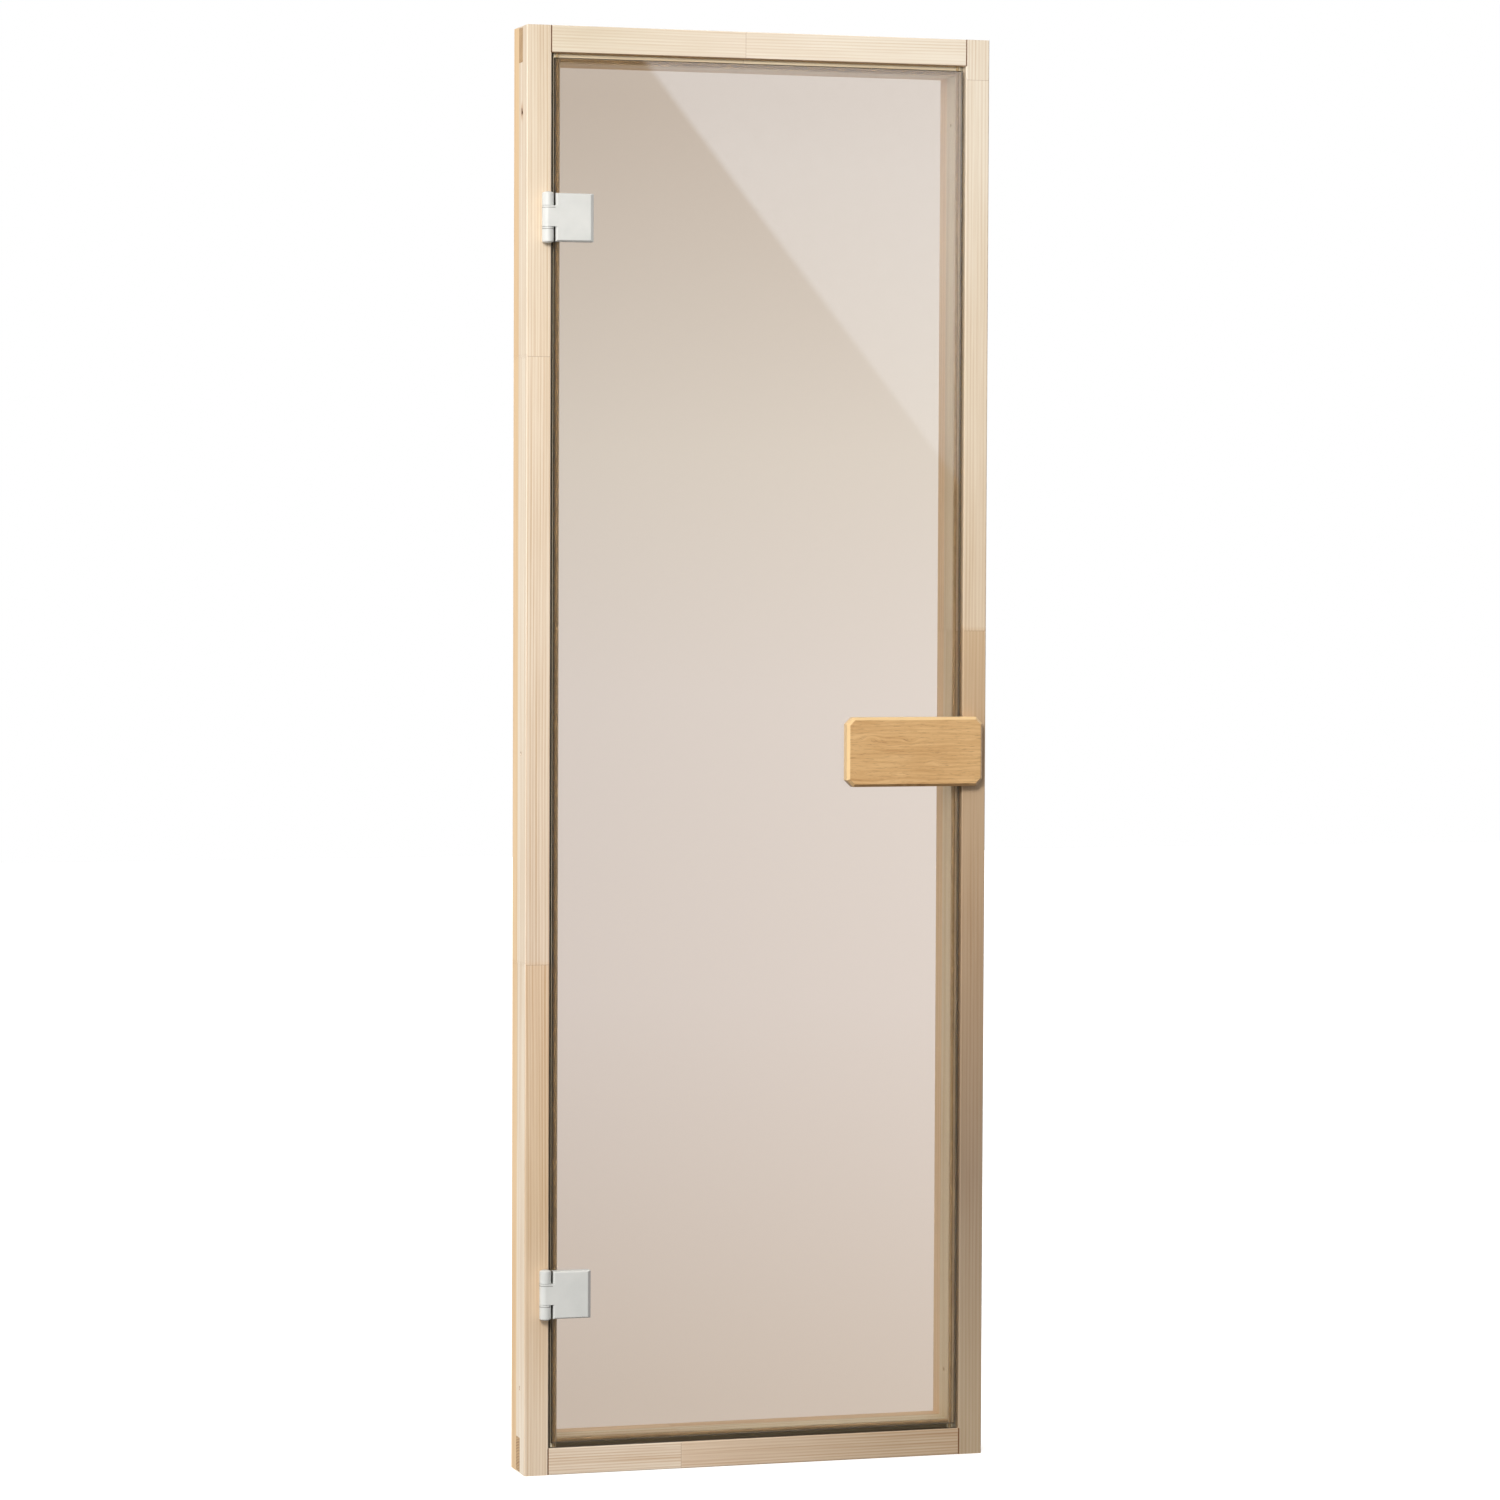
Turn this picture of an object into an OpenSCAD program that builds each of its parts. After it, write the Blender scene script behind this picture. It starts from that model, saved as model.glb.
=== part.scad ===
// Framed glass sauna door: rebated pine frame, tinted pane, two knuckle hinges
// and an eight-sided wooden pull that laps over the latch stile.
// Millimetres. X runs along the width from the middle, Y to the back from mid-depth,
// Z up from the floor. The hinges are on the left as seen from outside.

/* [Frame] */
// Outer width of the frame
frame_w = 700; // [640:10:900]
// Outer height of the frame
frame_h = 2090; // [1890:10:2190]
// Depth of the frame, front to back
frame_d = 78; // [72:1:95]
// Width of a stile as seen from the front
stile_face = 36; // [34:1:44]
// Height of a rail as seen from the front
rail_face = 39; // [34:1:48]
// How far the stop reaches past the lip, into the opening
stop_w = 14.5; // [13:0.5:20]
// Depth of the rebate that takes the pane
rebate_d = 11; // [11:0.5:14]
// Small chamfer planed on every long edge
arris = 1.2; // [0.5:0.1:1.5]

/* [Corner joints] */
// Thickness of the tenon on each rail end
tenon_t = 22; // [16:1:26]
// Depth from the frame's front to the tenon
tenon_back = 27; // [26:1:34]
// Shoulder above and below the tenon
tenon_shoulder = 2; // [1:0.5:4]
// Room left round the tenon in its mortise
joint_room = 0.1; // [0.05:0.05:0.3]

/* [Fixing holes] */
// Bore for a fixing screw through a stile
fixing_d = 6; // [5:0.5:7]
// Distance of the end holes from the frame's top and bottom
fixing_end = 124; // [100:1:160]
// Depth of the holes behind the frame's front
fixing_back = 29; // [21:1:35]

/* [Pane] */
// Thickness of the toughened glass
glass_t = 8; // [6:1:8]
// Open joint between pane and stiles
glass_gap = 5; // [5:0.5:7]
// Open joint between pane and rails
glass_gap_end = 7; // [5:0.5:8]
// Ground chamfer round the pane
glass_arris = 0.8; // [0.5:0.1:1.5]

/* [Seal] */
// Width of the groove for the seal
seal_groove_w = 3; // [2.5:0.5:3.5]
// Depth of the groove
seal_groove_deep = 4; // [3:0.5:5]
// Distance from the stop's inner edge to the seal's middle
seal_in = 4; // [4:0.5:4.5]
// Width of the soft bulb
seal_bulb_w = 4; // [3.5:0.5:4.5]
// Gap from the bulb to the closed pane
seal_gap = 0.3; // [0.2:0.1:0.5]
// Room left round the seal's foot in its groove
seal_room = 0.1; // [0.05:0.05:0.2]

/* [Hinges] */
// Height of the lower hinge's middle
hinge_low = 264; // [240:1:400]
// Distance of the upper hinge's middle from the frame's top
hinge_high = 275; // [240:1:400]
// Diameter of the knuckles
barrel_d = 17; // [15:0.5:17]
// Pin axis from the stile's outer edge
axis_in = 28.5; // [26:0.5:29]
// Knuckles stand off the stile's face by
barrel_gap = 0.5; // [0.3:0.1:1]
// Length of the upper fixed knuckle
knuckle_high = 17; // [14:1:20]
// Length of the turning knuckle
knuckle_mid = 30; // [26:1:34]
// Length of the lower fixed knuckle
knuckle_low = 20; // [16:1:22]
// Running gap between two knuckles
knuckle_gap = 0.4; // [0.2:0.1:0.6]
// Height of the round end caps
cap_h = 3; // [2:0.5:4]
// Diameter of the hinge pin
pin_d = 6; // [5:0.5:7]
// Running clearance round the pin
pin_room = 0.05; // [0.02:0.01:0.1]
// Diameter of the stud that fixes a knuckle in the stile
stud_d = 8; // [6:0.5:9]
// Length of the stud behind the pin axis
stud_l = 46; // [36:1:60]

/* [Hinge plates] */
// Width of the cast plate on the glass
plate_w = 56; // [50:1:64]
// Height of the cast plate
plate_h = 69; // [62:1:70]
// Open slot between knuckles and plate
plate_slot = 1.8; // [1:0.1:2.5]
// Wall left round the hollow at the back of the plate
plate_wall = 4; // [3:0.5:6]
// Front bevel along the plate's free side, across
bevel_w = 5; // [3:0.5:6]
// Front bevel on the plate's other sides, across
bevel_side = 2; // [1.5:0.5:3]
// Depth of the front bevel
bevel_d = 3; // [2:0.5:4]
// Width of the clamp plate inside
clamp_w = 38; // [32:1:40]
// Height of the clamp plate inside
clamp_h = 60; // [54:1:64]
// Thickness of the clamp plate
clamp_t = 5; // [4:0.5:6]
// Thickness of the soft pads on both sides of the glass
pad_t = 1; // [0.8:0.1:1.5]
// Distance between the two clamp screws
screw_pitch = 36; // [30:1:40]
// Diameter of a clamp screw
screw_d = 6; // [5:0.5:6]
// Diameter of a clamp screw's head
screw_head_d = 11; // [10:0.5:12]

/* [Handle] */
// Width of the outer pull
pull_w = 210; // [160:2:220]
// Height of the outer pull
pull_h = 102; // [90:1:120]
// Thickness of both pulls
pull_t = 18; // [17:1:24]
// Cut taken off each corner
pull_cut = 10; // [8:0.5:14]
// Chamfer round the front of a pull
pull_chamfer = 4; // [2.5:0.5:5]
// Outer pull's end from the frame's latch side edge
pull_end = 10; // [8:1:14]
// Height of the pulls' middle
pull_z = 1045; // [900:1:1100]
// Width of the inner pull
pull_in_w = 120; // [110:2:130]
// Height of the inner pull
pull_in_h = 92; // [80:1:100]
// Inner pull's end from the frame's latch side edge
pull_in_end = 68; // [64:1:80]
// Distance between the two handle bolts
bolt_pitch = 64; // [50:1:72]
// Diameter of a handle bolt
bolt_d = 6; // [5:0.5:7]
// Diameter of a handle bolt's head
bolt_head_d = 13; // [11:0.5:14]
// Thickness of a handle bolt's head
bolt_head_t = 5; // [4:0.5:6]
// Diameter of a soft washer
washer_d = 20; // [18:1:24]

/* [Magnet catch] */
// Diameter of magnet and strike disc
catch_d = 18; // [14:1:18]
// Thickness of the magnet
magnet_t = 8; // [6:1:12]
// Thickness of the strike disc
strike_t = 3; // [2:0.5:4]

/* [Hidden] */
$fn = 48;

half_w = frame_w / 2;
front = -frame_d / 2;
member = stile_face + stop_w;
rail_member = rail_face + stop_w;
over = 1;
stop_arris = 0.8;

glass_x0 = -half_w + stile_face + glass_gap;
glass_x1 = half_w - stile_face - glass_gap;
glass_z0 = rail_face + glass_gap_end;
glass_z1 = frame_h - rail_face - glass_gap_end;
glass_y0 = front;
glass_y1 = front + glass_t;

axis_x = -half_w + axis_in;
axis_y = front - barrel_d / 2 - barrel_gap;
hinge_z = [hinge_low, frame_h - hinge_high];
pin_r = pin_d / 2;
bore_r = pin_r + pin_room;
stud_r = stud_d / 2;
stud_room = 0.1;
stack = knuckle_low + knuckle_mid + knuckle_high + 2 * knuckle_gap;
mid_z0 = -stack / 2 + knuckle_low + knuckle_gap;
high_z0 = stack / 2 - knuckle_high;
cap_foot = 4;

plate_x0 = axis_x + barrel_d / 2 + plate_slot;
plate_x1 = plate_x0 + plate_w;
plate_y1 = front - pad_t;
plate_y0 = axis_y - barrel_d / 2;
plate_t = plate_y1 - plate_y0;
screw_x = plate_x1 - clamp_w / 2;
screw_r = screw_d / 2;
screw_room = 0.1;
boss_r = screw_r + 4;
collar_r = 6.8;
collar_room = 0.2;
pocket_floor = 5;
screw_head_t = 3;

pull_x = half_w - pull_end - pull_w / 2;
pull_in_x = half_w - pull_in_end - pull_in_w / 2;
pull_y1 = front - pad_t;
pull_in_y0 = glass_y1 + pad_t;
bolt_r = bolt_d / 2;
bolt_room = 0.2;
bolt_bite = 14;
sleeve_r = bolt_r + 2.6;
catch_x = half_w - stile_face / 2 - 6;
catch_room = 0.1;

// Section of a frame member: u from the outer edge inwards, v from the front to the back
function section(face, flip) = let (
    wide = face + stop_w,
    g0 = wide - seal_in - seal_groove_w / 2,
    g1 = g0 + seal_groove_w,
    p = [[arris, 0], [face - arris, 0], [face, arris], [face, rebate_d],
        [g0, rebate_d], [g0, rebate_d + seal_groove_deep],
        [g1, rebate_d + seal_groove_deep], [g1, rebate_d],
        [wide - stop_arris, rebate_d], [wide, rebate_d + stop_arris],
        [wide, frame_d - arris], [wide - arris, frame_d],
        [arris, frame_d], [0, frame_d - arris], [0, arris]])
    flip ? [for (q = p) [q[1], q[0]]] : p;

// Eight-sided outline, w by h, with each corner cut back by c
function eight(w, h, c) = [[-w / 2 + c, -h / 2], [w / 2 - c, -h / 2], [w / 2, -h / 2 + c],
    [w / 2, h / 2 - c], [w / 2 - c, h / 2], [-w / 2 + c, h / 2],
    [-w / 2, h / 2 - c], [-w / 2, -h / 2 + c]];

module block(x0, x1, y0, y1, z0, z1) {
    translate([x0, y0, z0])
        cube([x1 - x0, y1 - y0, z1 - z0]);
}

module along_y(x, y, z, r, l) {
    translate([x, y, z])
        rotate([-90, 0, 0])
            cylinder(r = r, h = l);
}

module along_x(x, y, z, r, l) {
    translate([x, y, z])
        rotate([0, 90, 0])
            cylinder(r = r, h = l);
}

// Stile on the left, with through mortises and fixing holes
module stile() {
    difference() {
        translate([-half_w, front, 0])
            linear_extrude(height = frame_h)
                polygon(section(stile_face, false));
        for (top = [0, 1])
            mirror_z(top)
                block(-half_w - over, -half_w + member + over,
                    front + tenon_back - joint_room, front + tenon_back + tenon_t + joint_room,
                    tenon_shoulder - joint_room, rail_member - tenon_shoulder + joint_room);
        for (z = [fixing_end, frame_h / 2, frame_h - fixing_end])
            along_x(-half_w - over, front + fixing_back, z, fixing_d / 2, member + 2 * over);
    }
}

module mirror_z(top) {
    translate([0, 0, top * frame_h])
        mirror([0, 0, top])
            children();
}

module hinge_stile() {
    color([0.92, 0.83, 0.70])
        difference() {
            stile();
            for (h = hinge_z)
                for (z = [-stack / 2 + knuckle_low / 2, stack / 2 - knuckle_high / 2])
                    along_y(axis_x, front - over, h + z, stud_r + stud_room,
                        stud_l - barrel_d / 2 + over);
        }
}

module latch_stile() {
    color([0.88, 0.78, 0.64])
        difference() {
            mirror([1, 0, 0])
                stile();
            along_y(catch_x, front - over, pull_z, catch_d / 2 + catch_room,
                magnet_t + catch_room + over);
        }
}

// Rail along the bottom: lip between the stiles' faces, coped over their stops,
// with a tenon through each stile
module rail() {
    difference() {
        translate([-half_w + stile_face, front, 0])
            rotate([90, 0, 90])
                linear_extrude(height = frame_w - 2 * stile_face)
                    polygon(section(rail_face, true));
        for (s = [0, 1])
            mirror([s, 0, 0])
                block(-half_w, -half_w + member, front + rebate_d, -front + over,
                    -over, rail_member + over);
    }
    for (s = [0, 1])
        mirror([s, 0, 0])
            block(-half_w, -half_w + member + over, front + tenon_back,
                front + tenon_back + tenon_t, tenon_shoulder, rail_member - tenon_shoulder);
}

module head_rail() {
    color([0.93, 0.85, 0.73])
        mirror_z(1)
            rail();
}

module sill_rail() {
    color([0.84, 0.74, 0.62])
        rail();
}

// Seal section: foot in the groove and a round bulb towards the pane
function seal_shape() = let (
    foot = seal_groove_w / 2 - seal_room,
    bulb = rebate_d - glass_t - seal_gap,
    steps = 12)
    concat([[foot, 0], [foot, seal_groove_deep - seal_room], [-foot, seal_groove_deep - seal_room],
        [-foot, 0]],
        [for (i = [0:steps]) let (a = 180 * i / steps)
            [-cos(a) * seal_bulb_w / 2, -sin(a) * bulb]]);

module seal(l) {
    linear_extrude(height = l)
        polygon(seal_shape());
}

module side_seal() {
    translate([-half_w + member - seal_in, front + rebate_d, rail_face])
        seal(frame_h - 2 * rail_face);
}

module rail_seal() {
    translate([-half_w + member, front + rebate_d, rail_member - seal_in])
        rotate([90, 0, 90])
            rotate([0, 0, -90])
                mirror([1, 0, 0])
                    seal(frame_w - 2 * member);
}

module hinge_side_seal() {
    color([0.38, 0.31, 0.24])
        side_seal();
}

module latch_side_seal() {
    color([0.38, 0.31, 0.24])
        mirror([1, 0, 0])
            side_seal();
}

module head_seal() {
    color([0.38, 0.31, 0.24])
        mirror_z(1)
            rail_seal();
}

module sill_seal() {
    color([0.38, 0.31, 0.24])
        rail_seal();
}

// Fixed knuckle with the stud that screws into the stile
module knuckle(z0, l) {
    translate([axis_x, axis_y, z0])
        difference() {
            union() {
                cylinder(r = barrel_d / 2, h = l);
                along_y(0, 0, l / 2, stud_r, stud_l);
            }
            translate([0, 0, -over])
                cylinder(r = bore_r, h = l + 2 * over);
        }
}

module knuckles(h) {
    color([0.90, 0.90, 0.88])
        translate([0, 0, h]) {
            knuckle(-stack / 2, knuckle_low);
            knuckle(high_z0, knuckle_high);
        }
}

module upper_hinge_knuckles() {
    knuckles(hinge_z[1]);
}

module lower_hinge_knuckles() {
    knuckles(hinge_z[0]);
}

// Round cap, its flat side at zero, with a shaft of length l below it
module capped_shaft(l) {
    steps = 8;
    rotate_extrude()
        polygon(concat([[0, -l], [pin_r, -l], [pin_r, 0]],
            [for (i = [0:steps]) let (a = 90 * i / steps)
                [cos(a) * barrel_d / 2, sin(a) * cap_h]]));
}

module pin(h) {
    color([0.88, 0.88, 0.86])
        translate([axis_x, axis_y, h + stack / 2])
            capped_shaft(stack - cap_foot - over);
}

module cap(h) {
    color([0.88, 0.88, 0.86])
        translate([axis_x, axis_y, h - stack / 2])
            mirror([0, 0, 1])
                capped_shaft(cap_foot);
}

module upper_hinge_pin() {
    pin(hinge_z[1]);
}

module lower_hinge_pin() {
    pin(hinge_z[0]);
}

module upper_hinge_cap() {
    cap(hinge_z[1]);
}

module lower_hinge_cap() {
    cap(hinge_z[0]);
}

module catch_magnet() {
    color([0.55, 0.55, 0.57])
        along_y(catch_x, front, pull_z, catch_d / 2, magnet_t);
}

module glass_pane() {
    a = glass_arris;
    color([0.62, 0.54, 0.45, 0.5])
        difference() {
            intersection() {
                translate([0, 0, glass_z0])
                    linear_extrude(height = glass_z1 - glass_z0)
                        polygon([[glass_x0 + a, glass_y0], [glass_x1 - a, glass_y0],
                            [glass_x1, glass_y0 + a], [glass_x1, glass_y1 - a],
                            [glass_x1 - a, glass_y1], [glass_x0 + a, glass_y1],
                            [glass_x0, glass_y1 - a], [glass_x0, glass_y0 + a]]);
                translate([glass_x0 - over, 0, 0])
                    rotate([90, 0, 90])
                        linear_extrude(height = glass_x1 - glass_x0 + 2 * over)
                            polygon([[glass_y0, glass_z0 + a], [glass_y0 + a, glass_z0],
                                [glass_y1 - a, glass_z0], [glass_y1, glass_z0 + a],
                                [glass_y1, glass_z1 - a], [glass_y1 - a, glass_z1],
                                [glass_y0 + a, glass_z1], [glass_y0, glass_z1 - a]]);
            }
            for (h = hinge_z)
                for (s = [-1, 1])
                    along_y(screw_x, glass_y0 - over, h + s * screw_pitch / 2,
                        collar_r + collar_room, glass_t + 2 * over);
            for (s = [-1, 1])
                along_y(pull_in_x + s * bolt_pitch / 2, glass_y0 - over, pull_z,
                    sleeve_r + collar_room, glass_t + 2 * over);
        }
}

// Cast plate on the glass with the turning knuckle, hollow at the back
module hinge_plate(h) {
    body_h = plate_h / 2;
    w = plate_wall;
    color([0.91, 0.91, 0.89])
        translate([0, 0, h])
            difference() {
                union() {
                    difference() {
                        hull() {
                            block(plate_x0, plate_x1, plate_y0 + bevel_d, plate_y1,
                                -body_h, body_h);
                            block(plate_x0 + bevel_side, plate_x1 - bevel_w, plate_y0, plate_y1,
                                -body_h + bevel_side, body_h - bevel_side);
                        }
                        block(plate_x0 + 2 * w, plate_x1 - w - bevel_w, plate_y0 + pocket_floor,
                            plate_y1 + over, -body_h + w, body_h - w);
                    }
                    translate([axis_x, axis_y, mid_z0])
                        cylinder(r = barrel_d / 2, h = knuckle_mid);
                    block(axis_x, plate_x0 + w, plate_y0, axis_y + barrel_d / 4,
                        mid_z0, mid_z0 + knuckle_mid);
                    for (s = [-1, 1])
                        along_y(screw_x, plate_y0 + pocket_floor - over, s * screw_pitch / 2,
                            boss_r, plate_t - pocket_floor + over);
                }
                translate([axis_x, axis_y, mid_z0 - over])
                    cylinder(r = bore_r, h = knuckle_mid + 2 * over);
                for (s = [-1, 1])
                    along_y(screw_x, plate_y0 + pocket_floor, s * screw_pitch / 2,
                        screw_r + screw_room, plate_t);
            }
}

module upper_hinge_plate() {
    hinge_plate(hinge_z[1]);
}

module lower_hinge_plate() {
    hinge_plate(hinge_z[0]);
}

module clamp_plate(h) {
    y0 = glass_y1 + pad_t;
    color([0.90, 0.90, 0.88])
        translate([screw_x, 0, h])
            difference() {
                hull() {
                    block(-clamp_w / 2, clamp_w / 2, y0, y0 + clamp_t - over, -clamp_h / 2,
                        clamp_h / 2);
                    block(-clamp_w / 2 + over, clamp_w / 2 - over, y0, y0 + clamp_t,
                        -clamp_h / 2 + over, clamp_h / 2 - over);
                }
                for (s = [-1, 1]) {
                    along_y(0, y0 - over, s * screw_pitch / 2, screw_r + screw_room,
                        clamp_t + 2 * over);
                    along_y(0, y0 + clamp_t - screw_head_t, s * screw_pitch / 2,
                        screw_head_d / 2 + screw_room, screw_head_t + over);
                }
            }
}

module upper_clamp_plate() {
    clamp_plate(hinge_z[1]);
}

module lower_clamp_plate() {
    clamp_plate(hinge_z[0]);
}

// Soft pad with two collars that reach into the holes of the pane
module pad(w, hgt) {
    difference() {
        union() {
            block(-w / 2, w / 2, 0, pad_t, -hgt / 2, hgt / 2);
            for (s = [-1, 1])
                along_y(0, 0, s * screw_pitch / 2, collar_r, pad_t + glass_t / 2 - collar_room);
        }
        for (s = [-1, 1])
            along_y(0, -over, s * screw_pitch / 2, screw_r + screw_room,
                pad_t + glass_t + over);
    }
}

module pads(h) {
    color([0.16, 0.15, 0.14])
        translate([screw_x, 0, h]) {
            translate([0, front - pad_t, 0])
                pad(clamp_w - over, clamp_h);
            translate([0, glass_y1 + pad_t, 0])
                mirror([0, 1, 0])
                    pad(clamp_w - over, clamp_h - over);
        }
}

module upper_hinge_pads() {
    pads(hinge_z[1]);
}

module lower_hinge_pads() {
    pads(hinge_z[0]);
}

module clamp_screws(h) {
    y1 = glass_y1 + pad_t + clamp_t;
    socket_d = 4;
    color([0.72, 0.72, 0.72])
        for (s = [-1, 1])
            difference() {
                union() {
                    along_y(screw_x, plate_y0 + pocket_floor + over, h + s * screw_pitch / 2,
                        screw_r, y1 - plate_y0 - pocket_floor - 2 * over);
                    along_y(screw_x, y1 - screw_head_t, h + s * screw_pitch / 2,
                        screw_head_d / 2, screw_head_t);
                }
                translate([screw_x, y1 - screw_head_t / 2, h + s * screw_pitch / 2])
                    rotate([-90, 0, 0])
                        cylinder(d = socket_d, h = screw_head_t, $fn = 6);
            }
}

module upper_clamp_screws() {
    clamp_screws(hinge_z[1]);
}

module lower_clamp_screws() {
    clamp_screws(hinge_z[0]);
}

// Eight-sided board, back at zero, chamfered all round its front, which faces down Y
module pull_board(w, h) {
    c = pull_chamfer;
    k = pull_cut - c * (2 - sqrt(2));
    rotate([90, 0, 0])
        hull() {
            linear_extrude(height = pull_t - c)
                polygon(eight(w, h, pull_cut));
            linear_extrude(height = pull_t)
                polygon(eight(w - 2 * c, h - 2 * c, k));
        }
}

module outer_pull() {
    color([0.80, 0.63, 0.41])
        difference() {
            translate([pull_x, pull_y1, pull_z])
                pull_board(pull_w, pull_h);
            for (s = [-1, 1])
                along_y(pull_in_x + s * bolt_pitch / 2, pull_y1 - bolt_bite - over, pull_z,
                    bolt_r + bolt_room, bolt_bite + 2 * over);
            along_y(catch_x, pull_y1 - strike_t - catch_room, pull_z,
                catch_d / 2 + catch_room, strike_t + catch_room + over);
        }
}

module inner_pull() {
    color([0.80, 0.63, 0.41])
        difference() {
            translate([pull_in_x, pull_in_y0, pull_z])
                mirror([0, 1, 0])
                    pull_board(pull_in_w, pull_in_h);
            for (s = [-1, 1]) {
                along_y(pull_in_x + s * bolt_pitch / 2, pull_in_y0 - over, pull_z,
                    bolt_r + bolt_room, pull_t + 2 * over);
                along_y(pull_in_x + s * bolt_pitch / 2, pull_in_y0 + pull_t - bolt_head_t - over,
                    pull_z, bolt_head_d / 2 + bolt_room, bolt_head_t + 2 * over);
            }
        }
}

module pull_bolts() {
    socket_d = 5;
    y1 = pull_in_y0 + pull_t - over;
    color([0.74, 0.74, 0.74])
        for (s = [-1, 1])
            translate([pull_in_x + s * bolt_pitch / 2, 0, pull_z])
                difference() {
                    union() {
                        along_y(0, pull_y1 - bolt_bite, 0, bolt_r, y1 - pull_y1 + bolt_bite - over);
                        along_y(0, y1 - bolt_head_t, 0, bolt_head_d / 2, bolt_head_t);
                    }
                    translate([0, y1 - bolt_head_t / 2, 0])
                        rotate([-90, 0, 0])
                            cylinder(d = socket_d, h = bolt_head_t, $fn = 6);
                }
}

module pull_sleeves() {
    color([0.85, 0.84, 0.80])
        for (s = [-1, 1])
            difference() {
                along_y(pull_in_x + s * bolt_pitch / 2, glass_y0, pull_z, sleeve_r, glass_t);
                along_y(pull_in_x + s * bolt_pitch / 2, glass_y0 - over, pull_z,
                    bolt_r + bolt_room, glass_t + 2 * over);
            }
}

module pull_washers() {
    color([0.85, 0.84, 0.80])
        for (s = [-1, 1])
            for (y = [front - pad_t, glass_y1])
                difference() {
                    along_y(pull_in_x + s * bolt_pitch / 2, y, pull_z, washer_d / 2, pad_t);
                    along_y(pull_in_x + s * bolt_pitch / 2, y - over, pull_z,
                        bolt_r + bolt_room, pad_t + 2 * over);
                }
}

module catch_strike() {
    color([0.78, 0.78, 0.78])
        along_y(catch_x, pull_y1 - strike_t, pull_z, catch_d / 2, strike_t);
}

hinge_stile();
latch_stile();
head_rail();
sill_rail();
hinge_side_seal();
latch_side_seal();
head_seal();
sill_seal();
upper_hinge_knuckles();
lower_hinge_knuckles();
upper_hinge_pin();
lower_hinge_pin();
upper_hinge_cap();
lower_hinge_cap();
catch_magnet();
glass_pane();
upper_hinge_plate();
lower_hinge_plate();
upper_clamp_plate();
lower_clamp_plate();
upper_hinge_pads();
lower_hinge_pads();
upper_clamp_screws();
lower_clamp_screws();
outer_pull();
inner_pull();
pull_bolts();
pull_sleeves();
pull_washers();
catch_strike();
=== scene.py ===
"""Dresses the framed sauna door: planed pine frame, tinted pane, white knuckle hinges and
wooden pulls.

Lengths are metres in the frame's own axes: X across, Y to the inside, Z up from the floor.
"""
import math

import bpy
from mathutils import Matrix, Vector

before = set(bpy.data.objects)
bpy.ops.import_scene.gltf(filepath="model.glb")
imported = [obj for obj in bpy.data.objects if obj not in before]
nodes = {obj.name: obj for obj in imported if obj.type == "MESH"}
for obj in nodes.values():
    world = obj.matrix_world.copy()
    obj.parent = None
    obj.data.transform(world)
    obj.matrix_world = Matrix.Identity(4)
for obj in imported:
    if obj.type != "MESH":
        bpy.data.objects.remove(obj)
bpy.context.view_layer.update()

# Places repeated from the part's driving sizes
WIDTH = 0.700
HEIGHT = 2.090
DEPTH = 0.078
STILE = 0.036
RAIL = 0.039
REBATE = 0.011
GLASS_SIDE = 0.041
GLASS_END = 0.046
FRONT = -DEPTH / 2
JAMB = WIDTH / 2 - STILE


# ---------------------------------------------------------------- node helpers
def fill_ramp(ramp, stops):
    """Stops are (place from 0 to 1, colour)."""
    marks = ramp.elements
    while len(marks) < len(stops):
        marks.new(0.5)
    for mark, (place, colour) in zip(marks, stops):
        mark.position = place
        mark.color = (*colour, 1)


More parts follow.
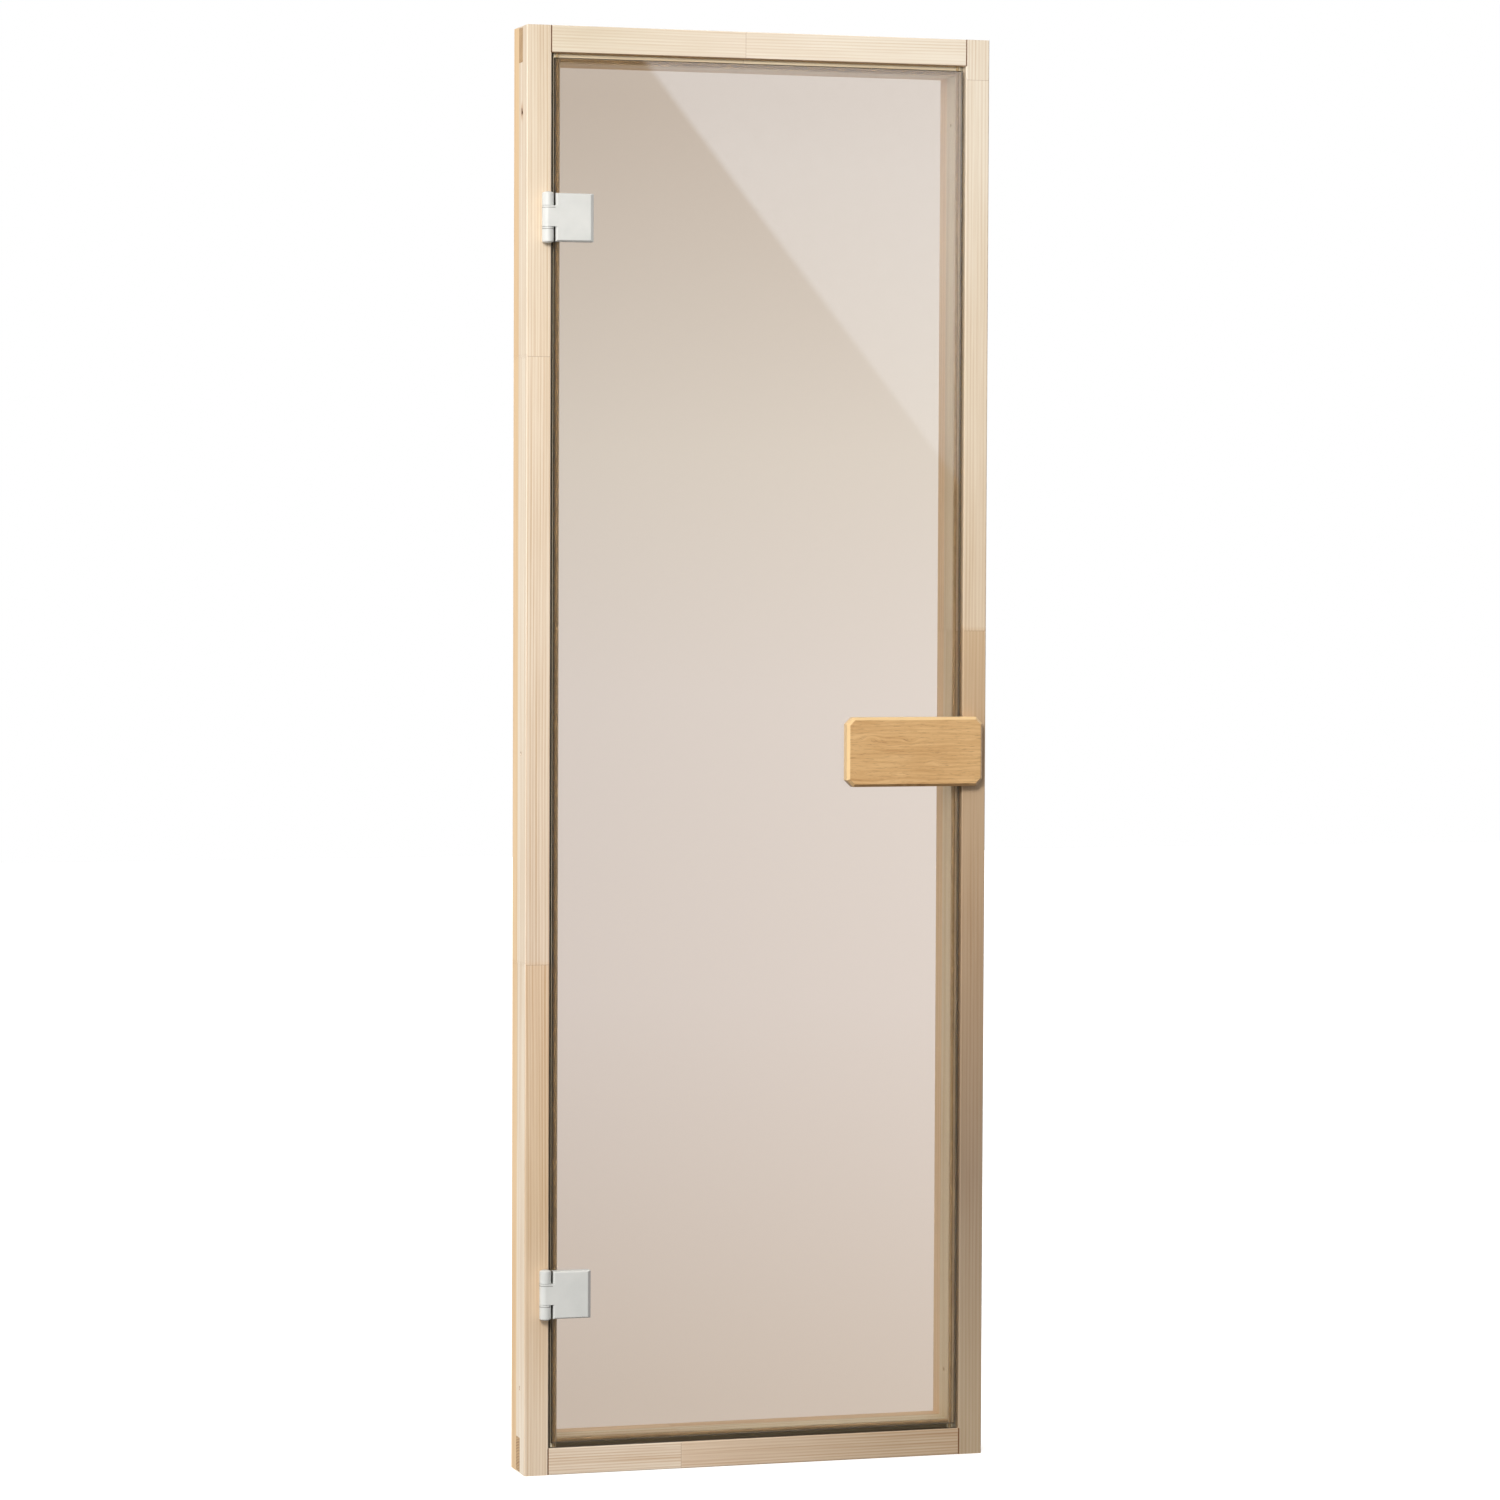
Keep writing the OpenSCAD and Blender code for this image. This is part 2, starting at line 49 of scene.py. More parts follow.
class Finish:
    """A material under construction: each call adds one shader node and returns its output."""

    def __init__(self, name):
        self.mat = bpy.data.materials.new(name)
        self.mat.use_nodes = True
        self.tree = self.mat.node_tree
        self.shader = self.tree.nodes["Principled BSDF"]
        self.place = self.tree.nodes.new("ShaderNodeTexCoord")

    def add(self, kind, **settings):
        node = self.tree.nodes.new("ShaderNode" + kind)
        for key, value in settings.items():
            setattr(node, key, value)
        return node

    def link(self, value, socket):
        if isinstance(value, bpy.types.NodeSocket):
            self.tree.links.new(value, socket)
        else:
            socket.default_value = value

    def here(self, scale=(1, 1, 1)):
        """Object position, scaled."""
        node = self.add("Mapping")
        self.link(self.place.outputs["Object"], node.inputs["Vector"])
        node.inputs["Scale"].default_value = scale
        return node.outputs["Vector"]

    def noise(self, at, scale=1.0, detail=3.0, rough=0.5):
        node = self.add("TexNoise")
        self.link(at, node.inputs["Vector"])
        for key, value in (("Scale", scale), ("Detail", detail), ("Roughness", rough)):
            node.inputs[key].default_value = value
        return node.outputs["Fac"]

    def sums(self, work, a, b=0.0, c=0.0, clamp=False):
        node = self.add("Math", operation=work, use_clamp=clamp)
        for value, socket in zip((a, b, c), node.inputs):
            self.link(value, socket)
        return node.outputs[0]

    def times(self, a, b):
        return self.sums("MULTIPLY", a, b)

    def plus(self, a, b):
        return self.sums("ADD", a, b)

    def mad(self, a, b, c):
        """a times b, plus c."""
        return self.sums("MULTIPLY_ADD", a, b, c)

    def hypot(self, a, b):
        return self.sums("SQRT", self.plus(self.times(a, a), self.times(b, b)))

    def axes(self, at=None):
        node = self.add("SeparateXYZ")
        self.link(at or self.place.outputs["Object"], node.inputs[0])
        return node.outputs

    def join(self, x, y, z):
        node = self.add("CombineXYZ")
        for value, socket in zip((x, y, z), node.inputs):
            self.link(value, socket)
        return node.outputs[0]

    def span(self, value, low, high, out_low=0.0, out_high=1.0, soft=False):
        """value from low to high, spread over out_low to out_high and held at the ends."""
        node = self.add("MapRange", clamp=True)
        if soft:
            node.interpolation_type = "SMOOTHSTEP"
        for item, socket in zip((value, low, high, out_low, out_high), node.inputs):
            self.link(item, socket)
        return node.outputs[0]

    def blend(self, share, a, b, how="MIX"):
        node = self.add("Mix", data_type="RGBA", blend_type=how, clamp_factor=True)
        self.link(share, node.inputs["Factor"])
        colours = [s for s in node.inputs if s.type == "RGBA"]
        self.link(a, colours[0])
        self.link(b, colours[1])
        return [s for s in node.outputs if s.type == "RGBA"][0]

    def ramp(self, value, stops):
        node = self.add("ValToRGB")
        self.link(value, node.inputs[0])
        fill_ramp(node.color_ramp, stops)
        return node.outputs["Color"]

    def bump(self, height, strength, depth):
        node = self.add("Bump")
        self.link(height, node.inputs["Height"])
        node.inputs["Strength"].default_value = strength
        node.inputs["Distance"].default_value = depth
        return node.outputs["Normal"]

    def set(self, **values):
        for key, value in values.items():
            self.link(value, self.shader.inputs[key.replace("_", " ")])
        return self.mat


def srgb(r, g, b):
    """Screen colour, 0 to 255, as the light share that shaders use."""
    return tuple(((c / 255 + 0.055) / 1.055) ** 2.4 if c > 10 else c / 3294.6 for c in (r, g, b))


# ---------------------------------------------------------------- timber
# Each member is glued from a front layer and a rear layer, and from lengths end to end
REAR_LAYER = 0.009
FINGER_PITCH = 0.0042
FINGER_SLOPE = 3.2
GLUE_LINE = 0.00035
# Margins that tell one face from the next
HAIR = 0.0004
SKIN = 0.0006
# Depths behind the front: what counts as inside the frame, where the painted shade lines at the
# rails' inner edges start, and how far the painted shade lines of the lip's edge and the rails'
# joints reach
INSIDE_FROM = 0.008
CREASE_FROM = 0.002
LIP_DEPTH = 0.0016
JOINT_DEPTH = 0.0025
LIP_HEIGHT = 0.0012
JOINT_WIDTH = 0.0014
OUTER_TONE = (1.0, 0.985, 0.965)
CROWN_TONE = (1.0, 0.80, 0.56)
GLUE_TONE = srgb(150, 108, 70)
CREASE_SHADE_TONE = srgb(58, 44, 28)
LIP_SHADE_TONE = srgb(150, 96, 50)
JOINT_SHADE_TONE = srgb(118, 72, 36)
KNOT_HALO = srgb(188, 134, 82)
KNOT_HEART = srgb(74, 44, 24)
END_PALE = srgb(206, 172, 128)
END_DARK = srgb(150, 108, 68)
END_PORE = srgb(120, 84, 52)


def timber(name, along, pale, dark, joints, tones, pith, pitch=0.0044, seed=0.0, knots=(),
           rear=(0.95, 0.86, 0.72), stop=(0.90, 0.93, 0.86), contrast=1.0, gap=0.0,
           gap_shade_tone=(0.042, 0.025, 0.012)):
    """Planed softwood. Year rings are the distance from a far-off pith, bent by slow noise and cut
    into pale early wood and a thin dark late line. joints are the places of the finger joints
    along the grain; tones are places along the grain with the colour that the front layer is
    multiplied by there, which holds the painted shade that falls on a member as well as its wood.
    The rear layer and the stop behind the pane have tones of their own, and gap is how strongly
    painted shade darkens the open rebate round the pane."""
    f = Finish(name)
    x, y, z = f.axes()
    run, wide = {"z": (z, x), "x": (x, z)}[along]
    zig = f.times(f.sums("PINGPONG", y, FINGER_PITCH / 2), FINGER_SLOPE)
    at_run = f.plus(run, zig)
    length = 0.0
    glue = 0.0
    for place in joints:
        length = f.plus(length, f.sums("GREATER_THAN", at_run, place))
        glue = f.plus(glue, f.sums("COMPARE", at_run, place, GLUE_LINE))
    layer = f.sums("GREATER_THAN", y, REAR_LAYER)
    shift = f.mad(length, 0.73, f.mad(layer, 5.1, seed))

    def grain(across, lengthwise, detail=2.0, rough=0.5):
        """Noise drawn out along the grain."""
        return f.noise(f.join(f.times(wide, across), f.times(y, across),
                              f.mad(run, lengthwise, shift)), 1.0, detail, rough)

    # rings
    sway = grain(6.0, 0.8)
    off_wide = f.plus(wide, f.mad(length, -0.013, -pith[0]))
    off_deep = f.plus(y, f.mad(layer, 0.021, -pith[1]))
    radius = f.mad(sway, 0.016, f.hypot(off_wide, off_deep))
    uneven = f.noise(f.join(f.times(radius, 210.0), shift, 0.0), 1.0, 2.0)
    turns = f.times(f.mad(uneven, 0.0026, radius), 1 / pitch)
    part = f.sums("FRACT", turns)
    late = f.times(f.span(part, 0.30, 0.84, soft=True),
                   f.span(part, 0.86, 1.0, 1.0, 0.0, soft=True))
    mood = grain(55.0, 1.3)
    late = f.times(late, f.span(mood, 0.34, 0.66, 0.25, 1.0))

    # streaks, fibres and slow clouds of tone along the grain
    streak = grain(330.0, 3.0)
    fibre = grain(1500.0, 16.0, 3.0, 0.6)
    cloud = grain(11.0, 2.6, 3.0)
    share = f.times(late, 0.62 * contrast)
    share = f.plus(share, f.span(streak, 0.38, 0.68, 0.0, 0.30 * contrast))
    share = f.plus(share, f.span(fibre, 0.35, 0.7, 0.0, 0.20))
    share = f.sums("ADD", share, f.span(cloud, 0.35, 0.7, -0.12, 0.14), clamp=True)
    colour = f.blend(share, (*pale, 1), (*dark, 1))

    # tones along the front layer, which paint the shade falling on a member as well as its wood,
    # then of the stop behind the pane, of a stile's outer side and of the rear layer
    low, high = {"z": (0.0, HEIGHT), "x": (-WIDTH / 2, WIDTH / 2)}[along]
    tone_and_shade = f.ramp(f.span(at_run, low, high), [((place - low) / (high - low), tone)
                                             for place, tone in tones])
    side = f.sums("ABSOLUTE", x)
    inward = (f.sums("LESS_THAN", side, JAMB - SKIN) if along == "z" else
              f.times(f.sums("GREATER_THAN", z, RAIL + SKIN),
                      f.sums("LESS_THAN", z, HEIGHT - RAIL - SKIN)))
    inner = f.times(inward, f.sums("GREATER_THAN", y, FRONT + INSIDE_FROM))
    tone = f.blend(inner, tone_and_shade, (*stop, 1))
    if along == "z":
        outer = f.sums("GREATER_THAN", side, WIDTH / 2 - HAIR)
        tone = f.blend(outer, tone, (*OUTER_TONE, 1))
    tone = f.blend(layer, tone, (*rear, 1))
    colour = f.blend(1.0, colour, tone, "MULTIPLY")
    colour = f.blend(f.times(glue, 0.45), colour, (*GLUE_TONE, 1))

    # painted shade in the open gap round the pane, no deeper than the rebate
    gap_shade_mask = (f.sums("GREATER_THAN", side, WIDTH / 2 - GLASS_SIDE - HAIR) if along == "z" else
                f.sums("MAXIMUM", f.sums("LESS_THAN", z, GLASS_END + HAIR),
                       f.sums("GREATER_THAN", z, HEIGHT - GLASS_END - HAIR)))
    shallow = f.sums("LESS_THAN", y, FRONT + REBATE + 2 * HAIR)
    gap_shade_mask = f.times(f.times(gap_shade_mask, inner), f.times(shallow, gap))
    colour = f.blend(gap_shade_mask, colour, (*gap_shade_tone, 1))
    if along == "x":
        # painted shade on the sill's inner face; the head's inner face warmer; painted shade on its
        # front edge
        foot = f.sums("COMPARE", z, RAIL, SKIN)
        crown = f.sums("COMPARE", z, HEIGHT - RAIL, SKIN)
        deep = f.times(f.sums("GREATER_THAN", y, FRONT + CREASE_FROM), shallow)
        colour = f.blend(f.times(f.times(foot, deep), gap), colour, (*CREASE_SHADE_TONE, 1))
        colour = f.blend(f.times(crown, deep), colour, (*CROWN_TONE, 1), "MULTIPLY")
        lip = f.times(f.sums("LESS_THAN", z, HEIGHT - RAIL + LIP_HEIGHT),
                      f.sums("GREATER_THAN", z, HEIGHT / 2))
        lip = f.times(lip, f.sums("LESS_THAN", y, FRONT + LIP_DEPTH))
        colour = f.blend(f.times(lip, 0.7), colour, (*LIP_SHADE_TONE, 1))

    # knots, each with a brown halo
    for kx, ky, kz, size in knots:
        away = f.add("VectorMath", operation="SUBTRACT")
        f.link(f.place.outputs["Object"], away.inputs[0])
        away.inputs[1].default_value = (kx, ky, kz)
        flat = f.add("VectorMath", operation="MULTIPLY")
        f.link(away.outputs[0], flat.inputs[0])
        flat.inputs[1].default_value = (1, 1, 0.55) if along == "z" else (0.55, 1, 1)
        far = f.add("VectorMath", operation="LENGTH")
        f.link(flat.outputs[0], far.inputs[0])
        reach = f.mad(f.noise(f.here(), 700.0, 2.0), size * 0.5, far.outputs["Value"])
        colour = f.blend(f.span(reach, size * 0.9, size * 2.4, 0.5, 0.0, soft=True), colour,
                         (*KNOT_HALO, 1))
        colour = f.blend(f.span(reach, size * 0.7, size * 1.1, 1.0, 0.0), colour,
                         (*KNOT_HEART, 1))

    # end grain where a face looks along the grain
    normal = f.axes(f.place.outputs["Normal"])
    facing = f.sums("ABSOLUTE", normal[2 if along == "z" else 0])
    end = f.sums("GREATER_THAN", facing, 0.8)
    pores = f.noise(f.here(), 2400.0, 2.0)
    cut = f.blend(late, (*END_PALE, 1), (*END_DARK, 1))
    cut = f.blend(f.span(pores, 0.45, 0.7, 0.0, 0.4), cut, (*END_PORE, 1))
    colour = f.blend(end, colour, cut)

    # painted shade in the fine open line where a rail's lip meets the stile
    line = f.times(f.sums("GREATER_THAN", side, JAMB - SKIN),
                   f.sums("LESS_THAN", side, JAMB + JOINT_WIDTH))
    ends = f.plus(f.sums("LESS_THAN", z, RAIL), f.sums("GREATER_THAN", z, HEIGHT - RAIL))
    line = f.times(f.times(line, ends), f.sums("LESS_THAN", y, FRONT + JOINT_DEPTH))
    colour = f.blend(f.times(line, 0.85), colour, (*JOINT_SHADE_TONE, 1))

    relief = f.plus(f.times(late, -0.5), f.plus(f.times(fibre, 0.55), f.times(streak, 0.3)))
    f.link(f.bump(relief, 0.35, 0.0004), f.shader.inputs["Normal"])
    f.link(f.span(late, 0.0, 1.0, 0.58, 0.46), f.shader.inputs["Roughness"])
    f.set(Base_Color=colour)
    f.shader.inputs["Specular IOR Level"].default_value = 0.35
    return f.mat


ALDER_PALE = srgb(236, 195, 138)
ALDER_DARK = srgb(196, 148, 92)
ALDER_PORE = srgb(142, 96, 52)
ALDER_HIGHLIGHT = srgb(250, 216, 160)
ALDER_EDGE_SHADE = srgb(132, 92, 50)
EYE_WIDE = 0.011
EYE_HIGH = 0.0042


def pull_timber(name, eyes):
    """Lacquered alder: level grain along X with streaks of several widths, short dark pores,
    and small eyes round which the grain bends, each a bell-shaped lift of the grain's level.
    The cut edges carry a painted highlight towards the top and the left, and painted shade below
    and right."""
    f = Finish(name)
    x, y, z = f.axes()
    level = f.mad(y, 0.8, z)
    for ex, ez, lift in eyes:
        dx = f.times(f.plus(x, -ex), 1 / EYE_WIDE)
        dz = f.times(f.plus(z, -ez), 1 / EYE_HIGH)
        bell = f.sums("EXPONENT", f.times(f.plus(f.times(dx, dx), f.times(dz, dz)), -1.0))
        level = f.mad(bell, lift, level)
    level = f.mad(f.noise(f.here((9, 30, 30)), 1.0, 3.0), 0.011, level)
    rings = f.mad(f.sums("SINE", f.times(level, 1050.0)), 0.5, 0.5)
    broad = f.noise(f.join(f.times(x, 7.0), f.times(level, 190.0), 0.0), 1.0, 3.0, 0.55)
    fibre = f.noise(f.join(f.times(x, 26.0), f.times(level, 760.0), f.times(y, 40.0)),
                    1.0, 4.0, 0.62)
    dash = f.noise(f.join(f.times(x, 75.0), f.times(level, 1300.0), f.times(y, 60.0)),
                   1.0, 2.0, 0.5)
    pores = f.span(dash, 0.58, 0.70)
    cloud = f.noise(f.here((10, 30, 30)), 1.0, 2.0)
    share = f.plus(f.times(rings, 0.16), f.span(broad, 0.34, 0.68, 0.0, 0.34))
    share = f.plus(share, f.span(fibre, 0.3, 0.72, 0.0, 0.46))
    share = f.sums("ADD", share, f.span(cloud, 0.3, 0.7, -0.2, 0.14), clamp=True)
    colour = f.blend(share, (*ALDER_PALE, 1), (*ALDER_DARK, 1))
    colour = f.blend(f.times(pores, 0.5), colour, (*ALDER_PORE, 1))
    # painted highlight on cut edges facing up and left, painted shade on those facing down and
    # right
    normal = f.axes(f.place.outputs["Normal"])
    nx, nz = normal[0], normal[2]
    edge_highlight = f.sums("MAXIMUM", f.span(nz, 0.25, 0.6), f.span(nx, -0.25, -0.6))
    colour = f.blend(f.times(edge_highlight, 0.75), colour, (*ALDER_HIGHLIGHT, 1))
    edge_shade = f.sums("MAXIMUM", f.span(nz, -0.25, -0.6), f.times(f.span(nx, 0.6, 0.9), 0.6))
    colour = f.blend(f.times(edge_shade, 0.6), colour, (*ALDER_EDGE_SHADE, 1))
    f.link(f.bump(f.sums("SUBTRACT", fibre, pores), 0.16, 0.0003), f.shader.inputs["Normal"])
    f.set(Base_Color=colour)
    f.link(f.span(pores, 0.0, 1.0, 0.40, 0.6), f.shader.inputs["Roughness"])
    f.shader.inputs["Coat Weight"].default_value = 0.2
    f.shader.inputs["Coat Roughness"].default_value = 0.25
    return f.mat


# ---------------------------------------------------------------- metal, rubber, nylon, glass
# Wall of the open slot between barrel and plate
SLOT_X = -WIDTH / 2 + 0.0285 + 0.0085 + 0.0018
# How far the slot opens before the frame, and the plate's far edge from the wall
SLOT_MOUTH = 0.0120
LEE_EDGE = 0.052
# Middles of the two hinges, and of the gaps between knuckles from there
HINGES = (0.264, HEIGHT - 0.275)
KNUCKLE_GAPS = (-0.0167, 0.0137)
COAT_PALE = srgb(224, 225, 222)
COAT_GREY = srgb(215, 217, 214)
SEAM_SHADE_TONE = srgb(104, 102, 98)
SLOT_SHADE_TONE = srgb(40, 38, 30)
LEE_SHADE_TONE = (0.70, 0.66, 0.66)


def coated_white(name):
    """White powder coat: fine orange-peel skin, slightly greyer in slow patches, with painted shade
    in the slot between barrel and plate, on the plate's far edge (more so lower down) and in fine
    seams between the knuckles."""
    f = Finish(name)
    peel = f.noise(f.here(), 900.0, 2.0)
    patch = f.noise(f.here(), 30.0, 3.0)
    colour = f.blend(f.span(patch, 0.35, 0.7), (*COAT_PALE, 1), (*COAT_GREY, 1))
    x, y, z = f.axes()
    facing = f.axes(f.place.outputs["Normal"])[0]
    # painted shade on the slot's wall
    slot = f.times(f.sums("COMPARE", x, SLOT_X, 0.0008), f.sums("LESS_THAN", facing, -0.5))
    slot = f.times(slot, f.sums("GREATER_THAN", y, FRONT - SLOT_MOUTH))
    colour = f.blend(f.times(slot, 0.93), colour, (*SLOT_SHADE_TONE, 1))
    # painted shade on the plate's far edge, stronger lower down
    lee_shade = f.times(f.sums("GREATER_THAN", x, SLOT_X + LEE_EDGE), f.span(facing, 0.2, 0.6))
    lee_shade = f.times(lee_shade, f.span(z, 0.3, 1.7, 1.0, 0.15))
    colour = f.blend(lee_shade, colour, (*LEE_SHADE_TONE, 1), "MULTIPLY")
    # painted shade in the fine seams between the knuckles
    for middle in HINGES:
        for gap in KNUCKLE_GAPS:
            seam_shade = f.times(f.sums("COMPARE", z, middle + gap, 0.0005),
                           f.sums("LESS_THAN", x, SLOT_X - 0.0012))
            colour = f.blend(f.times(seam_shade, 0.75), colour, (*SEAM_SHADE_TONE, 1))
    f.set(Base_Color=colour)
    f.link(f.bump(peel, 0.12, 0.0002), f.shader.inputs["Normal"])
    f.link(f.span(peel, 0.3, 0.7, 0.34, 0.42), f.shader.inputs["Roughness"])
    return f.mat


def plated(name, colour, rough):
    """Zinc-plated steel: turned marks as fine noise in the gloss."""
    f = Finish(name)
    marks = f.noise(f.here((1, 1, 40)), 260.0, 3.0)
    f.set(Base_Color=f.blend(f.span(marks, 0.3, 0.7), (*colour, 1),
                             (*[c * 0.82 for c in colour], 1)), Metallic=1.0)
    f.link(f.span(marks, 0.3, 0.7, rough, rough + 0.14), f.shader.inputs["Roughness"])
    return f.mat


def soft_rubber(name, colour):
    """Rubber: fine mould grain and paler dusty patches."""
    f = Finish(name)
    grain = f.noise(f.here(), 1400.0, 2.0)
    dust = f.noise(f.here(), 60.0, 4.0)
    f.set(Base_Color=f.blend(f.span(dust, 0.35, 0.75), (*colour, 1),
                             (*[c * 1.3 + 0.01 for c in colour], 1)))
    f.link(f.bump(grain, 0.2, 0.0002), f.shader.inputs["Normal"])
    f.link(f.span(grain, 0.3, 0.7, 0.62, 0.78), f.shader.inputs["Roughness"])
    return f.mat


def nylon(name):
    """Natural nylon: milky with a faint cloudiness."""
    f = Finish(name)
    cloud = f.noise(f.here(), 220.0, 3.0)
    f.set(Base_Color=f.blend(cloud, (*srgb(226, 222, 210), 1), (*srgb(204, 198, 184), 1)))
    f.link(f.span(cloud, 0.3, 0.7, 0.35, 0.5), f.shader.inputs["Roughness"])
    return f.mat


GLASS_TINT = (0.804, 0.728, 0.658)
RIM_TINT = (0.12, 0.090, 0.045)
# How far the ground edge reaches in
GRIND = 0.0012


def bronze_glass(name):
    """Tinted glass: clear body, its ground edges duller and browner than the polished faces."""
    f = Finish(name)
    axes = f.axes()
    x, z = axes[0], axes[2]
    side = WIDTH / 2 - GLASS_SIDE - GRIND
    low, high = GLASS_END + GRIND, HEIGHT - GLASS_END - GRIND
    rim = f.sums("MAXIMUM", f.sums("GREATER_THAN", f.sums("ABSOLUTE", x), side),
                 f.sums("MAXIMUM", f.sums("LESS_THAN", z, low), f.sums("GREATER_THAN", z, high)))
    f.set(Base_Color=f.blend(rim, (*GLASS_TINT, 1), (*RIM_TINT, 1)))
    f.link(f.span(rim, 0.0, 1.0, 0.0, 0.35), f.shader.inputs["Roughness"])
    f.shader.inputs["Transmission Weight"].default_value = 1.0
    f.shader.inputs["IOR"].default_value = 1.5
    return f.mat


PINE_PALE = srgb(246, 235, 217)
PINE_DARK = srgb(212, 185, 151)
# Tones along each member paint the shade falling on it as well as its wood; most on the lower latch
# stile
pines = {
    "hinge_stile": timber("pine_hinge_stile", "z", PINE_PALE, PINE_DARK, (0.745, 1.62), (
        (0.08, (0.95, 0.87, 0.80)), (0.40, (0.87, 0.75, 0.62)), (0.744, (0.92, 0.79, 0.68)),
        (0.746, (0.93, 0.85, 0.80)), (1.62, (0.99, 0.95, 0.91)), (2.05, (0.90, 0.87, 0.83))),
        (-0.408, -0.022), seed=1.3, rear=(0.97, 0.80, 0.58), gap=0.92,
        knots=((-0.3495, -0.0080, 1.968, 0.0045),)),
    "latch_stile": timber("pine_latch_stile", "z", PINE_PALE, PINE_DARK, (1.226, 2.035), (
        (0.05, (0.58, 0.50, 0.41)), (0.42, (0.44, 0.36, 0.30)), (0.80, (0.55, 0.43, 0.33)),
        (1.2255, (0.79, 0.66, 0.52)), (1.2265, (0.88, 0.80, 0.71)),
        (1.60, (0.97, 0.93, 0.88)), (2.03, (1.0, 1.0, 1.0))),
        (0.412, -0.030), pitch=0.0052, seed=4.1, contrast=0.65, gap=0.55),
    "head_rail": timber("pine_head_rail", "x", PINE_PALE, PINE_DARK, (-0.02,), (
        (-0.25, (0.89, 0.89, 0.86)), (-0.02, (0.97, 0.96, 0.96)), (0.15, (1.0, 1.0, 1.0))),
        (2.006, -0.015), pitch=0.0040, seed=7.7, contrast=0.6, stop=(0.94, 0.92, 0.82)),
    "sill_rail": timber("pine_sill_rail", "x", PINE_PALE, srgb(203, 170, 136), (-0.11,), (
        (-0.11, (1.0, 0.95, 0.91)), (-0.109, (0.95, 0.86, 0.79)), (0.22, (0.69, 0.59, 0.49))),
        (-0.046, -0.024), pitch=0.0041, seed=2.9, contrast=1.0, gap=0.85,
        stop=(0.90, 0.95, 0.86), gap_shade_tone=srgb(112, 98, 70)),
}
alder = pull_timber("alder_pull", ((0.111, 1.023, -0.006), (0.136, 1.063, 0.004),
                                   (0.166, 1.066, -0.005), (0.228, 1.060, 0.004),
                                   (0.150, 1.012, 0.005), (0.262, 1.030, -0.004)))
white = coated_white("white_powder_coat")
steel = plated("plated_steel", (0.62, 0.62, 0.61), 0.28)
seal_rubber = soft_rubber("brown_seal", srgb(186, 162, 122))
pad_rubber = soft_rubber("black_pad", srgb(34, 32, 30))
clear_nylon = nylon("natural_nylon")
glass = bronze_glass("bronze_glass")

wear = dict(pines, outer_pull=alder, inner_pull=alder, glass_pane=glass,
            pull_bolts=steel, catch_magnet=steel, catch_strike=steel,
            pull_sleeves=clear_nylon, pull_washers=clear_nylon)
for side in ("hinge_side", "latch_side", "head", "sill"):
    wear[side + "_seal"] = seal_rubber
for level in ("upper", "lower"):
    for part in ("hinge_knuckles", "hinge_pin", "hinge_cap", "hinge_plate", "clamp_plate"):
        wear[f"{level}_{part}"] = white
    wear[level + "_hinge_pads"] = pad_rubber
    wear[level + "_clamp_screws"] = steel
for name, finish in wear.items():
    mesh = nodes[name].data
    mesh.materials.clear()
    mesh.materials.append(finish)


# ---------------------------------------------------------------- eased arrises
def smoothing():
    """One node group that marks every face smooth, for the last step of the easing."""
    group = bpy.data.node_groups.new("smooth_faces", "GeometryNodeTree")
    group.interface.new_socket("Geometry", in_out="INPUT", socket_type="NodeSocketGeometry")
    group.interface.new_socket("Geometry", in_out="OUTPUT", socket_type="NodeSocketGeometry")
    start = group.nodes.new("NodeGroupInput")
    smooth = group.nodes.new("GeometryNodeSetShadeSmooth")
    end = group.nodes.new("NodeGroupOutput")
    group.links.new(start.outputs[0], smooth.inputs[0])
    group.links.new(smooth.outputs[0], end.inputs[0])
    return group


# How far each solid's sharp edges are rounded; the pane keeps its own ground chamfer
WELD_WITHIN = 0.00001
FLAT_ANGLE = math.radians(0.4)
SHARP_ANGLE = math.radians(30)
EASED = {"hinge_stile": 0.0005, "latch_stile": 0.0005, "head_rail": 0.0005, "sill_rail": 0.0005,
         "outer_pull": 0.0007, "inner_pull": 0.0009, "pull_bolts": 0.0003,
         "pull_washers": 0.0002}
for level in ("upper", "lower"):
    EASED.update({level + "_hinge_plate": 0.0006, level + "_clamp_plate": 0.0005,
                  level + "_hinge_knuckles": 0.0006, level + "_clamp_screws": 0.0003,
                  level + "_hinge_pin": 0.0002, level + "_hinge_cap": 0.0002})
smooth_faces = smoothing()
for name, size in EASED.items():
    o = nodes[name]
    weld = o.modifiers.new("joined", "WELD")
    weld.merge_threshold = WELD_WITHIN
    flat = o.modifiers.new("flat", "DECIMATE")
    flat.decimate_type = "DISSOLVE"
    flat.angle_limit = FLAT_ANGLE
    ease = o.modifiers.new("eased", "BEVEL")
    ease.width = size
    ease.segments = 3
    ease.limit_method = "ANGLE"
    ease.angle_limit = SHARP_ANGLE
    ease.harden_normals = False
    smooth = o.modifiers.new("smooth", "NODES")
    smooth.node_group = smooth_faces
    even = o.modifiers.new("even", "WEIGHTED_NORMAL")
    even.weight = 80


# ---------------------------------------------------------------- studio
def sheet_mesh(name, points, faces, material):
    mesh = bpy.data.meshes.new(name)
    mesh.from_pydata([tuple(p) for p in points], [], faces)
    mesh.materials.append(material)
    o = bpy.data.objects.new(name, mesh)
    bpy.context.scene.collection.objects.link(o)
    return o


